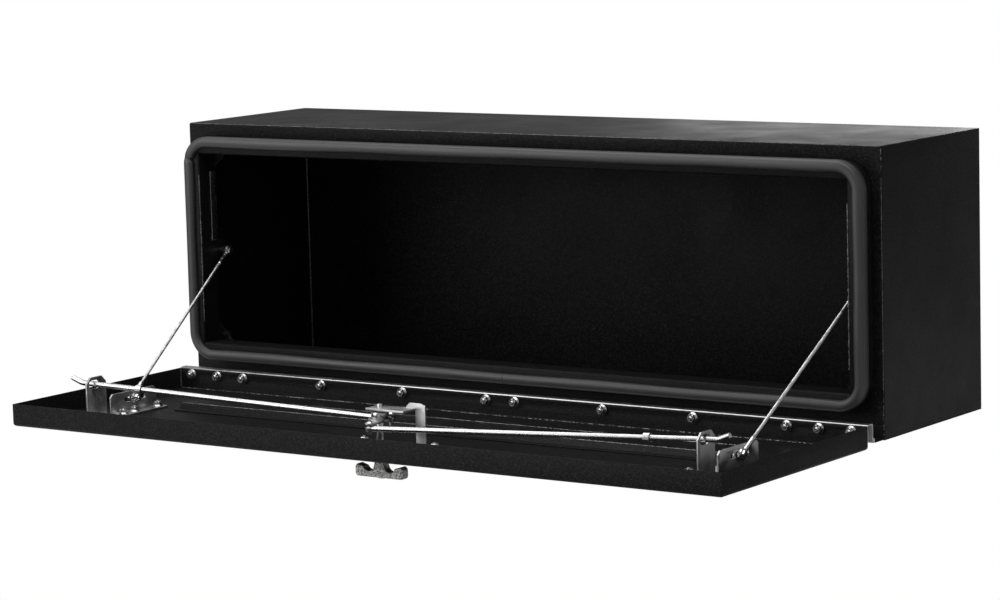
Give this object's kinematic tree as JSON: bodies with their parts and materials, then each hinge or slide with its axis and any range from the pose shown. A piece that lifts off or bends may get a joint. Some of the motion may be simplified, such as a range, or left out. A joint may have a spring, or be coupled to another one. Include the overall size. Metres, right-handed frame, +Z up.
{
  "type": "side truck toolbox",
  "caption": "Long steel truck side toolbox with a drop-down door on a continuous hinge, cable stays, a T-handle and latch rods.",
  "frame": {"origin": "centre of the underside of the box", "axes": "+X along the box to the right seen from the door side, -Y towards the door, +Z up"},
  "size_m": [1.2192, 0.7206, 0.453],
  "materials": {
    "black_coat": "textured matte black powder coat",
    "stainless": "satin stainless steel",
    "zinc": "bright zinc",
    "zinc_dark": "dull zinc plate",
    "rubber": "matte sponge rubber",
    "handle_metal": "grey cast zinc",
    "wire": "coated wire cable",
    "lock_metal": "polished"
  },
  "bodies": {
    "box": {"top_panel": "black_coat", "bottom_panel": "black_coat", "right_side_panel": "black_coat", "left_side_panel": "black_coat", "back_panel": "black_coat", "frame_sill": "black_coat", "frame_head": "black_coat", "frame_left_jamb": "black_coat", "frame_right_jamb": "black_coat", "corner_gussets": "black_coat", "right_cable_anchor": "black_coat", "left_cable_anchor": "black_coat", "flange_rivets": "black_coat", "door_seal": "rubber", "hinge_box_leaf": "stainless", "hinge_pin": "stainless", "leaf_rivets": "stainless", "gusset_bolts": "zinc", "box_nuts": "zinc", "right_strike": "zinc", "left_strike": "zinc", "anchor_spacers": "zinc", "anchor_bolts": "zinc"},
    "door": {"door_pan": "black_coat", "door_stiffener": "black_coat", "hinge_door_leaf": "stainless", "hinge_bolts": "zinc", "hinge_nuts": "zinc", "right_rod_guide": "zinc_dark", "left_rod_guide": "zinc_dark", "right_cable_bracket": "zinc_dark", "left_cable_bracket": "zinc_dark", "floor_studs": "zinc", "floor_nuts": "zinc", "cable_bolts": "zinc", "cable_nuts": "zinc", "latch_base_plate": "zinc_dark", "latch_bridge": "zinc_dark", "handle_rose": "handle_metal", "spindle_bush": "zinc_dark"},
    "handle": {"t_handle": "handle_metal", "spindle": "zinc", "cam_plate": "zinc_dark", "cam_hub": "zinc", "cam_pins": "zinc", "pin_clips": "zinc", "spindle_nut": "zinc"},
    "lock": {"lock_plug": "lock_metal"},
    "right_rod": {"right_rod": "zinc", "right_rod_collar": "zinc"},
    "left_rod": {"left_rod": "zinc", "left_rod_collar": "zinc"},
    "right_cable_upper": {"right_upper_terminal": "zinc", "right_cable_upper_run": "wire"},
    "right_cable_lower": {"right_cable_lower_run": "wire"},
    "right_cable_foot": {"right_lower_terminal": "zinc"},
    "left_cable_upper": {"left_upper_terminal": "zinc", "left_cable_upper_run": "wire"},
    "left_cable_lower": {"left_cable_lower_run": "wire"},
    "left_cable_foot": {"left_lower_terminal": "zinc"}
  },
  "joints": [
    {"name": "door_hinge", "type": "hinge", "parent": "box", "child": "door", "pos_m": [0, -0.17305, 0.0045], "axis": [-1, 0, 0], "range_deg": [0, 90]},
    {"name": "handle_turn", "type": "hinge", "parent": "door", "child": "handle", "pos_m": [0, -0.48505, 0.0382], "axis": [0, 0, 1], "range_deg": [0, 75]},
    {"name": "lock_turn", "type": "hinge", "parent": "handle", "child": "lock", "pos_m": [0, -0.48505, -0.04], "axis": [0, 0, 1], "range_deg": [0, 90]},
    {"name": "right_rod_pivot", "type": "hinge", "parent": "handle", "child": "right_rod", "pos_m": [0.01035, -0.52369, 0.03], "axis": [0, 0, 1], "range_deg": [-79.27, 0]},
    {"name": "left_rod_pivot", "type": "hinge", "parent": "handle", "child": "left_rod", "pos_m": [-0.01035, -0.44641, 0.03], "axis": [0, 0, 1], "range_deg": [-79.27, 0]},
    {"name": "right_cable_top_pivot", "type": "hinge", "parent": "box", "child": "right_cable_upper", "pos_m": [0.56, -0.12305, 0.206], "axis": [1, 0, 0], "range_deg": [0, 56.86], "deforming": ["right_cable_upper_run"]},
    {"name": "right_cable_fold", "type": "hinge", "parent": "right_cable_upper", "child": "right_cable_lower", "pos_m": [0.54717, -0.24859, 0.11854], "axis": [-1, 0, 0], "range_deg": [0, 167.78], "deforming": ["right_cable_lower_run"]},
    {"name": "right_cable_foot_pivot", "type": "hinge", "parent": "door", "child": "right_cable_foot", "pos_m": [0.5321, -0.39605, 0.0158], "axis": [-1, 0, 0], "range_deg": [0, 20.93]},
    {"name": "left_cable_top_pivot", "type": "hinge", "parent": "box", "child": "left_cable_upper", "pos_m": [-0.56, -0.12305, 0.206], "axis": [1, 0, 0], "range_deg": [0, 56.86], "deforming": ["left_cable_upper_run"]},
    {"name": "left_cable_fold", "type": "hinge", "parent": "left_cable_upper", "child": "left_cable_lower", "pos_m": [-0.54717, -0.24859, 0.11854], "axis": [-1, 0, 0], "range_deg": [0, 167.78], "deforming": ["left_cable_lower_run"]},
    {"name": "left_cable_foot_pivot", "type": "hinge", "parent": "door", "child": "left_cable_foot", "pos_m": [-0.5321, -0.39605, 0.0158], "axis": [-1, 0, 0], "range_deg": [0, 20.93]}
  ],
  "couplings": [
    {"joint": "right_rod_pivot", "follows": "handle_turn", "ratio": -1.0569},
    {"joint": "left_rod_pivot", "follows": "handle_turn", "ratio": -1.0569},
    {"joint": "right_cable_top_pivot", "follows": "door_hinge", "ratio": 0.63173},
    {"joint": "right_cable_fold", "follows": "door_hinge", "ratio": 1.8642},
    {"joint": "right_cable_foot_pivot", "follows": "door_hinge", "ratio": 0.23251},
    {"joint": "left_cable_top_pivot", "follows": "door_hinge", "ratio": 0.63173},
    {"joint": "left_cable_fold", "follows": "door_hinge", "ratio": 1.8642},
    {"joint": "left_cable_foot_pivot", "follows": "door_hinge", "ratio": 0.23251}
  ]
}
